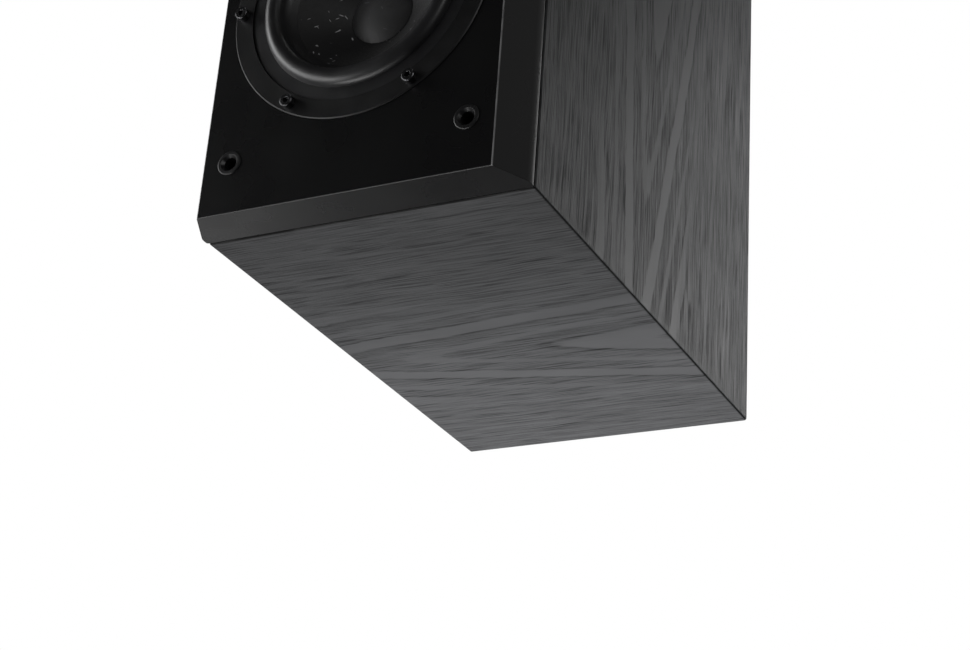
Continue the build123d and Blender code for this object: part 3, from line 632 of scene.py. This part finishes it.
inner_half = [
    crest[0], beside_in, *within(front_roll, LIP_TOP, CREST_R - BESIDE * 2), *lip,
    *within(back_roll, high=CREST_R - BESIDE * 2), crest[1],
]
half_roll("surround_outer", outer_half, 0.0, -10.0, *WOOFER_ROLL)
half_roll("surround_inner", inner_half, -10.6, 0.6, *WOOFER_ROLL)

# tweeter roll: between the dome at radius 13.1 and the flange at radius 16.3
TWEETER_ROLL = (TWEETER, "tweeter_diaphragm", "tweeter_surround", "dome_silk")
DOME_CREST_R, DOME_BESIDE = 14.7, 0.05
DOME_FRONT, DOME_BACK, DOME_CREST_FRONT, DOME_CREST_BACK = 5.1, 5.4, 3.8, 4.1
dome_crest = [(DOME_CREST_R, DOME_CREST_FRONT), (DOME_CREST_R, DOME_CREST_BACK)]
dome_front = arc((13.1, DOME_FRONT), dome_crest[0], (16.3, DOME_FRONT), 24)
dome_back = arc((16.3, DOME_BACK), dome_crest[1], (13.1, DOME_BACK), 24)
outside, inside = DOME_CREST_R + DOME_BESIDE, DOME_CREST_R - DOME_BESIDE
half_roll("dome_roll_outer",
          [dome_crest[0], *within(dome_front, outside), (17.2, DOME_FRONT), (17.2, DOME_BACK),
           *within(dome_back, outside), dome_crest[1]],
          DOME_FRONT, 2.5, *TWEETER_ROLL)
half_roll("dome_roll_inner",
          [*within(dome_front, high=inside), *dome_crest, *within(dome_back, high=inside)],
          2.5, DOME_FRONT, *TWEETER_ROLL)

# spider: part turns, side by side round the axis, that together make one wavy cloth
SPIDER_INNER, SPIDER_OUTER, SPIDER_LAND, SPIDER_DEPTH = 13.25, 34.0, 38.4, 31.6
SPIDER_WAVES, SPIDER_SWING, SPIDER_CLOTH, SPIDER_PARTS = 5, 1.3, 0.5, 12
SPIDER_STEPS = 60       # points across the waves
wave_front = []
for index in range(SPIDER_STEPS + 1):
    share = index / SPIDER_STEPS
    lift = SPIDER_SWING * 0.5 * (1 - math.cos(FULL_TURN * SPIDER_WAVES * share))
    radius = SPIDER_INNER + (SPIDER_OUTER - SPIDER_INNER) * share
    wave_front.append((radius, SPIDER_DEPTH + lift))
wave_front.append((SPIDER_LAND, SPIDER_DEPTH))
wave_outline = wave_front + [(r, d + SPIDER_CLOTH) for r, d in reversed(wave_front)]
for index in range(SPIDER_PARTS):
    span = (FULL_TURN * index / SPIDER_PARTS, FULL_TURN * (index + 1) / SPIDER_PARTS)
    cloth = turned(f"spider_{index:02d}", wave_outline, WOOFER, FINISHES["spider_cloth"], 8, span)
    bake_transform(cloth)
    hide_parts("woofer_spider")


# lead wires: twisted strands in a loose bend from the terminal tab to the neck of the cone
LEAD_X = 6.0            # each side of the driver's axis
LEAD_RADIUS, LEAD_GROOVE = 0.6, 0.14    # the grooves between strands are a share of the radius
LEAD_STRANDS, LEAD_TWISTS, LEAD_CORNERS = 3, 14, 18
LEAD_PARTS = 12         # steps from one point of the route to the next
LEAD_ROUTE = [          # (depth behind the baffle's front, height above the driver's axis)
    (36.4, 46.0), (33.4, 46.0), (30.4, 44.6), (28.0, 41.6), (26.8, 37.0), (26.5, 32.0),
    (27.2, 27.5), (28.1, 23.0), (28.5, 18.0), (28.6, 12.9),
]


def smooth_route(points, parts):
    """The points joined by one smooth curve that passes through them all."""
    route = []
    padded = [points[0] * 2 - points[1]] + points + [points[-1] * 2 - points[-2]]
    for a, b, c, d in zip(padded, padded[1:], padded[2:], padded[3:]):
        for part in range(parts):
            t = part / parts
            route.append((b * 2 + (c - a) * t + (a * 2 - b * 5 + c * 4 - d) * t**2
                          + (b * 3 - a - c * 3 + d) * t**3) / 2)
    return route + [points[-1]]


def lead_wire(name, x):
    """A stranded wire, x millimetres to the right of the driver's axis."""
    points = [Vector((x * MM, FRONT_Y + depth * MM, WOOFER.z + height * MM))
              for depth, height in LEAD_ROUTE]
    route = smooth_route(points, LEAD_PARTS)
    sideways = Vector((1, 0, 0))
    mesh = bmesh.new()
    rings = []
    for index, point in enumerate(route):
        ahead = route[min(index + 1, len(route) - 1)] - route[max(index - 1, 0)]
        normal = ahead.normalized().cross(sideways)
        twist = FULL_TURN * LEAD_TWISTS * index / len(route)
        ring = []
        for corner in range(LEAD_CORNERS):
            angle = FULL_TURN * corner / LEAD_CORNERS
            strand = abs(math.cos(LEAD_STRANDS * angle / 2 + twist))
            reach = LEAD_RADIUS * MM * (1 - LEAD_GROOVE + LEAD_GROOVE * strand)
            outward = sideways * math.cos(angle) + normal * math.sin(angle)
            ring.append(mesh.verts.new(point + outward * reach))
        rings.append(ring)
    for here, there in zip(rings, rings[1:]):
        skin(mesh, here, there)
    close_ends(mesh, rings)
    bmesh.ops.recalc_face_normals(mesh, faces=mesh.faces)
    wire = piece(name, mesh, FINISHES["copper"], 70)
    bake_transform(wire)
    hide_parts("woofer_lead_wires")


lead_wire("lead_wire_left", -LEAD_X)
lead_wire("lead_wire_right", LEAD_X)


# ---------------------------------------------------------------- soft pads inside the cabinet
PAD_THICKNESS = 12 * MM
PAD_CUTS = 35
PAD_EDGE, PAD_CROWN = 0.42, 0.5         # thickness at the rim, and what the middle adds, as shares
PAD_PULL = 0.035                        # how far the edges pull in, as a share
LUMPS_Y, LUMPS_Z, LUMP_PITCH = 3.4, 4.6, 1.6
BIG_LUMP, SMALL_LUMP = 0.16, 0.07


def wadding_pad(name, low, high, seed):
    """Loose polyester pad: rounded corners, a lumpy face and edges that pull in."""
    mesh = bmesh.new()
    bmesh.ops.create_cube(mesh, size=1.0)
    bmesh.ops.subdivide_edges(mesh, edges=mesh.edges[:], cuts=PAD_CUTS, use_grid_fill=True)
    size, middle = high - low, (high + low) / 2
    for vert in mesh.verts:
        x, y, z = vert.co * 2
        bulge = (1 - abs(y) ** 6) * (1 - abs(z) ** 6)
        spot = Vector((x, y * LUMPS_Y, z * LUMPS_Z)) * LUMP_PITCH + Vector((seed, 0, 0))
        lump = noise.noise(spot) * BIG_LUMP + noise.noise(spot * 3.1) * SMALL_LUMP
        thick = (PAD_EDGE + PAD_CROWN * bulge) + lump * bulge
        pull = 1 - PAD_PULL * (1 + noise.noise(spot * 1.7)) * (1 - abs(x))
        vert.co = middle + Vector((x * thick * size.x, y * pull * size.y, z * pull * size.z)) / 2
    bmesh.ops.recalc_face_normals(mesh, faces=mesh.faces)
    pad = piece(name, mesh, FINISHES["wadding"], 60)
    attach(pad, "cabinet")
    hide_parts("side_wadding")


pads_low, pads_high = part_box("side_wadding")
left_high = Vector((pads_low.x + PAD_THICKNESS, pads_high.y, pads_high.z))
right_low = Vector((pads_high.x - PAD_THICKNESS, pads_low.y, pads_low.z))
wadding_pad("wadding_left", pads_low, left_high, 3.0)
wadding_pad("wadding_right", right_low, pads_high, 11.0)


# ---------------------------------------------------------------- stage, light and camera
FLOOR_SIZE, FLOOR_DROP = 4.0, 0.0006
FILL = 0.028
MIDDLE = (0.0, 0.0, 0.12)


def floor_material():
    """Pale paper on top, and clear from below."""
    shader = Shader("floor_paper", (0.80, 0.80, 0.80), 0.9)
    tone = shader.noise(300.0)
    shader.color(shader.mix(tone, (0.79, 0.79, 0.79), (0.82, 0.82, 0.82)))
    clear = shader.add("ShaderNodeBsdfTransparent")
    under = shader.add("ShaderNodeNewGeometry").outputs["Backfacing"]
    choose = shader.add("ShaderNodeMixShader",
                        {0: under, 1: shader.surface.outputs[0], 2: clear.outputs[0]})
    output = shader.tree.nodes["Material Output"]
    shader.tree.links.new(choose.outputs[0], output.inputs["Surface"])
    return shader.material


def plain_floor():
    """A floor that shows from above only, so that the camera below it sees the underside."""
    mesh = bmesh.new()
    bmesh.ops.create_grid(mesh, x_segments=8, y_segments=8, size=FLOOR_SIZE)
    floor = piece("floor", mesh, floor_material())
    floor.location.z = CAD_BOUNDS[0].z - FLOOR_DROP
    for ray in ("visible_shadow", "visible_diffuse", "visible_glossy", "visible_transmission"):
        setattr(floor, ray, False)


def white_surroundings(fill):
    """White to the camera, and a dim even fill for everything else."""
    world = bpy.data.worlds.new("studio")
    bpy.context.scene.world = world
    world.use_nodes = True
    tree = world.node_tree
    dim = tree.nodes["Background"]
    white = tree.nodes.new("ShaderNodeBackground")
    for background, strength in ((dim, fill), (white, 1.0)):
        background.inputs["Color"].default_value = (1, 1, 1, 1)
        background.inputs["Strength"].default_value = strength
    path = tree.nodes.new("ShaderNodeLightPath")
    mix = tree.nodes.new("ShaderNodeMixShader")
    tree.links.new(path.outputs["Is Camera Ray"], mix.inputs[0])
    tree.links.new(dim.outputs[0], mix.inputs[1])
    tree.links.new(white.outputs[0], mix.inputs[2])
    tree.links.new(mix.outputs[0], tree.nodes["World Output"].inputs["Surface"])


def softbox(name, place, width, height, radiance, aim=MIDDLE, tilt=0.0, spread=180.0):
    """A soft rectangular light that faces aim.

    It is turned by tilt degrees in its own plane, and its beam is spread degrees wide.
    """
    data = bpy.data.lights.new(name, "AREA")
    data.shape = "RECTANGLE"
    data.size, data.size_y = width, height
    data.energy = radiance * math.pi * width * height
    data.spread = math.radians(spread)
    light = bpy.data.objects.new(name, data)
    light.location = place
    direction = Vector(aim) - Vector(place)
    facing = direction.to_track_quat("-Z", "Y").to_matrix()
    facing = facing @ Matrix.Rotation(math.radians(tilt), 3, "Z")
    light.rotation_euler = facing.to_euler()
    light.visible_camera = False
    bpy.context.scene.collection.objects.link(light)


plain_floor()
white_surroundings(FILL)

# the side and the rear of the underside
softbox("right_softbox", (0.46, 0.66, 0.20), 0.4, 0.26, 0.9, aim=(0.09, 0.08, 0.14), spread=80.0)
softbox("right_high", (1.7, 0.5, 1.15), 2.2, 1.0, 0.24)
softbox("rear_softbox", (0.66, 2.4, 1.40), 0.7, 0.7, 2.5)
softbox("seam_light", (1.39, 2.4, 1.66), 0.5, 0.5, 0.2)
softbox("rear_low", (-0.95, 2.4, -0.75), 1.3, 0.5, 0.8)
softbox("left_low", (-1.92, 1.95, -1.37), 0.75, 0.7, 0.98)
# the woofer, the bevels and the underside
softbox("left_softbox", (-1.6, -0.63, 0.6), 0.8, 1.0, 4.0)
softbox("left_strip", (-1.30, -1.0, -0.38), 0.8, 1.5, 4.0, tilt=35.0)
softbox("under_bounce", (-0.45, -0.1, -1.5), 1.0, 1.3, 4.6)
softbox("right_front", (1.42, -1.08, 0.35), 0.3, 1.2, 2.6)
softbox("front_glint", (0.75, -1.5, 1.15), 0.2, 0.9, 1.5)
softbox("overhead", (0.2, 0.4, 2.4), 1.4, 1.4, 2.5)

CAMERA_PLACE = Vector((0.45544, -0.86957, -0.44900))
CAMERA_FORWARD = Vector((-0.42279, 0.80403, 0.41807)).normalized()
CAMERA_UP = Vector((0.12962, -0.40293, 0.90600)).normalized()
camera_data = bpy.data.cameras.new("camera")
camera_data.lens = 73.19
camera_data.sensor_width = 36.0
camera_data.clip_start = 0.01
camera_data.dof.use_dof = False
camera = bpy.data.objects.new("camera", camera_data)
right = CAMERA_FORWARD.cross(CAMERA_UP).normalized()
up = right.cross(CAMERA_FORWARD)
camera.matrix_world = Matrix((
    (right.x, up.x, -CAMERA_FORWARD.x, CAMERA_PLACE.x),
    (right.y, up.y, -CAMERA_FORWARD.y, CAMERA_PLACE.y),
    (right.z, up.z, -CAMERA_FORWARD.z, CAMERA_PLACE.z),
    (0, 0, 0, 1),
))
bpy.context.scene.collection.objects.link(camera)
bpy.context.scene.camera = camera
bpy.context.scene.view_settings.view_transform = "Standard"
